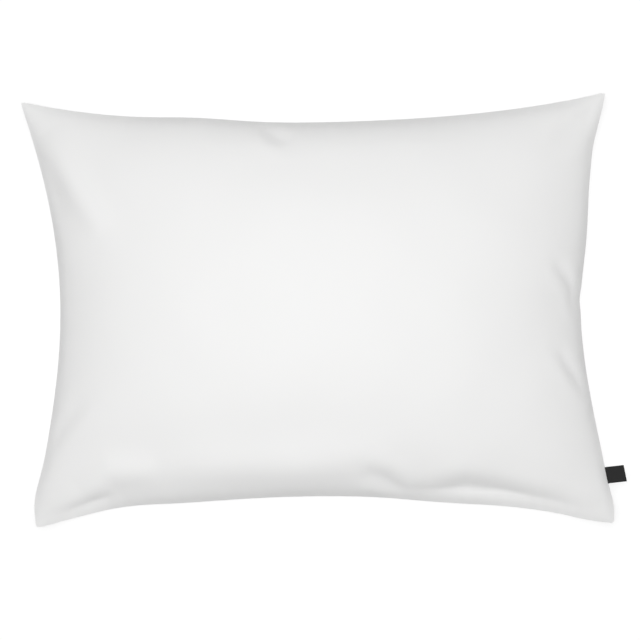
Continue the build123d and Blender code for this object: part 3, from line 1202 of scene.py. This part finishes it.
class PILLOW_OT_insert(bpy.types.Operator):
    """Makes the insert's ticking cover and the fibre inside it"""

    bl_idname = "pillow.insert"
    bl_label = "Fill the Insert"

    def execute(self, context):
        settings = context.scene.pillow.insert
        case = context.scene.pillow.case
        cut = (case.cut_length - 2 * settings.side_gap, case.cut_width - 2 * settings.side_gap)
        upper, lower = layer_inside(settings.side_gap, INSERT_EAR_GAP, settings.depth)
        cover = refine(closed_from("insert_cover", upper, lower, cut))
        finish_piece(cover, PILLOW, "ticking", "ticking_front_panel", "ticking_back_panel")

        side_gap, ear_gap = settings.side_gap + 8 * MM, INSERT_EAR_GAP + 10 * MM
        upper, lower = layer_inside(side_gap, ear_gap, settings.depth + settings.wadding)
        filling = closed_from("insert_filling", upper, lower, cut)
        finish_piece(filling, PILLOW, "fibre", "fibre_fill")
        return {"FINISHED"}


def around(sides):
    """One closed line round four sides, without doubled corners."""
    return np.concatenate([sides["bottom"][:-1], sides["right"][:-1], sides["top"][::-1][:-1],
                           sides["left"][::-1][:-1]])


class PILLOW_OT_piping(bpy.types.Operator):
    """Runs the covered cord round the insert's edge"""

    bl_idname = "pillow.piping"
    bl_label = "Run the Piping"

    def execute(self, context):
        settings = context.scene.pillow.insert
        stand = 1.2 * MM
        line = around(inset(seam_sides(), settings.side_gap - stand, INSERT_EAR_GAP - stand))
        for _ in range(3):
            line = (np.roll(line, 1, 0) + 2 * line + np.roll(line, -1, 0)) / 4
        ring, step = 10, 0.0065
        tangent = np.roll(line, -1, 0) - np.roll(line, 1, 0)
        tangent /= np.linalg.norm(tangent, axis=1)[:, None]
        out = np.column_stack([tangent[:, 1], -tangent[:, 0]])
        points, cloth, faces = [], [], []
        for k, (place, way) in enumerate(zip(line, out)):
            for a in np.arange(ring) * 2 * math.pi / ring:
                reach = settings.piping * math.cos(a)
                points.append((*(place + way * reach), SEAM_Z + settings.piping * math.sin(a)))
                cloth.append((k * step, a * settings.piping))
        count = len(line)
        for k in range(count):
            for a in range(ring):
                b, after = (a + 1) % ring, (k + 1) % count
                faces.append((k * ring + a, after * ring + a, after * ring + b, k * ring + b))
        piping = make_mesh("insert_piping_cord", points, faces, cloth)
        finish_piece(piping, PILLOW, "piping_tape", "insert_piping")
        return {"FINISHED"}


class PILLOW_OT_insert_stitches(bpy.types.Operator):
    """Sews the insert's seam and closes the gap that it was filled through"""

    bl_idname = "pillow.insert_stitches"
    bl_label = "Stitch the Insert"

    def execute(self, context):
        settings = context.scene.pillow.insert
        inwards = 3 * MM
        line = inset(seam_sides(), settings.side_gap + inwards, INSERT_EAR_GAP + inwards)
        rise = 2 * context.scene.pillow.case.cloth
        right = line["right"]
        gap = abs(right[:, 1]) < settings.opening / 2
        rows = seam_rows(line, ("bottom", "top", "left"), rise)
        half = settings.opening / 2
        for part in (right[right[:, 1] <= -half], right[right[:, 1] >= half]):
            rows += seam_rows({"right": part}, ("right",), rise)
        sew("insert_seam_stitches", rows, "ticking_seam_thread")

        inwards = 1 * MM
        edge = inset(seam_sides(), settings.side_gap + inwards, INSERT_EAR_GAP + inwards)["right"]
        rows = seam_rows({"right": edge[gap]}, ("right",), rise)
        sew("insert_closing_stitches", rows, "ticking_closing_thread")
        return {"FINISHED"}


# Radius and height of the white table and of the sweep that it turns up into, in metres.
FLOOR_PROFILE = ((3.5, 0.0), (4.4, 0.08), (5.2, 0.4), (5.9, 1.1), (6.3, 2.2), (6.5, 4.5))
FLOOR_TONES = ((0.29, 0.29, 0.29), (0.31, 0.31, 0.31))


def sweep_round(name, profile, count):
    """A round floor whose edge turns up as a backdrop."""
    points, faces = [(0.0, 0.0, 0.0)], []
    for radius, height in profile:
        for k in range(count):
            angle = 2 * math.pi * k / count
            points.append((radius * math.cos(angle), radius * math.sin(angle), height))
    for k in range(count):
        after = (k + 1) % count
        faces.append((0, 1 + k, 1 + after))
        for ring in range(len(profile) - 1):
            a, b = 1 + ring * count, 1 + (ring + 1) * count
            faces.append((a + k, b + k, b + after, a + after))
    return make_mesh(name, points, faces)


def light_all_round(tree, above, below):
    """Even light from above that changes softly to the floor's bounce below."""
    place = tree.nodes.new("ShaderNodeTexCoord")
    split = tree.nodes.new("ShaderNodeSeparateXYZ")
    tree.links.new(place.outputs["Generated"], split.inputs[0])
    change = tree.nodes.new("ShaderNodeMapRange")
    change.interpolation_type = "SMOOTHSTEP"
    for socket, value in (("From Min", -0.3), ("From Max", 0.3), ("To Min", below), ("To Max", above)):
        change.inputs[socket].default_value = value
    tree.links.new(split.outputs["Z"], change.inputs["Value"])
    background = tree.nodes["Background"]
    background.inputs["Color"].default_value = (1, 1, 1, 1)
    tree.links.new(change.outputs["Result"], background.inputs["Strength"])


class PILLOW_OT_stage(bpy.types.Operator):
    """Lays the pale floor, hangs the soft lights and sets the camera"""

    bl_idname = "pillow.stage"
    bl_label = "Set the Stage"

    def execute(self, context):
        scene = context.scene
        settings = scene.pillow.stage
        floor = sweep_round("floor", FLOOR_PROFILE, 64)
        floor.visible_diffuse = False
        floor.visible_shadow = False
        pale = Finish("pale_floor")
        place = pale.object_place()
        grain = pale.noise(place, 30.0, 3.0)
        floor.data.materials.append(pale.surface(
            Base_Color=pale.tint(*FLOOR_TONES, grain),
            Roughness=0.9,
            Specular_IOR_Level=0.1,
            Emission_Color=(1, 1, 1, 1),
            Emission_Strength=settings.floor_glow,
        ))

        world = bpy.data.worlds.new("surround")
        world.use_nodes = True
        light_all_round(world.node_tree, settings.surround, settings.bounce)
        scene.world = world
        scene.view_settings.view_transform = "Standard"

        soft = bpy.data.lights.new("overhead", "AREA")
        soft.size = settings.overhead_size
        soft.energy = settings.overhead
        lamp = bpy.data.objects.new("overhead", soft)
        lamp.location = settings.overhead_at
        lamp.rotation_euler = (-Vector(settings.overhead_at)).to_track_quat("-Z", "Y").to_euler()
        scene.collection.objects.link(lamp)

        lens = bpy.data.cameras.new("camera")
        lens.sensor_width = 36.0
        lens.lens = lens.sensor_width * (settings.camera_height - SEAM_Z) / settings.view_width
        lens.clip_end = 50
        camera = bpy.data.objects.new("camera", lens)
        camera.location = (*settings.aim, settings.camera_height)
        scene.collection.objects.link(camera)
        scene.camera = camera
        return {"FINISHED"}


STEPS = (
    PILLOW_OT_stage,
    PILLOW_OT_case,
    PILLOW_OT_flap,
    PILLOW_OT_case_stitches,
    PILLOW_OT_side_label,
    PILLOW_OT_care_labels,
    PILLOW_OT_insert,
    PILLOW_OT_piping,
    PILLOW_OT_insert_stitches,
)


class PILLOW_PT_panel(bpy.types.Panel):
    """Sizes and steps of the pillow"""

    bl_idname = "PILLOW_PT_panel"
    bl_label = "Bed Pillow"
    bl_space_type = "VIEW_3D"
    bl_region_type = "UI"
    bl_category = "Pillow"

    def draw(self, context):
        settings = context.scene.pillow
        for group in ("case", "insert", "stitches", "labels", "finishes", "stage"):
            box = self.layout.box()
            box.label(text=group.capitalize())
            values = getattr(settings, group)
            for name in values.__annotations__:
                box.prop(values, name)
        for step in STEPS:
            self.layout.operator(step.bl_idname)


GROUPS = (CaseSettings, InsertSettings, StitchSettings, LabelSettings, FinishSettings, StageSettings,
          PillowSettings)


def register():
    for kind in (*GROUPS, *STEPS, PILLOW_PT_panel):
        bpy.utils.register_class(kind)
    bpy.types.Scene.pillow = PointerProperty(type=PillowSettings)


def unregister():
    del bpy.types.Scene.pillow
    for kind in reversed((*GROUPS, *STEPS, PILLOW_PT_panel)):
        bpy.utils.unregister_class(kind)


def main():
    register()
    for step in STEPS:
        group, name = step.bl_idname.split(".")
        getattr(getattr(bpy.ops, group), name)()
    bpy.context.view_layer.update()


if __name__ == "__main__":
    main()
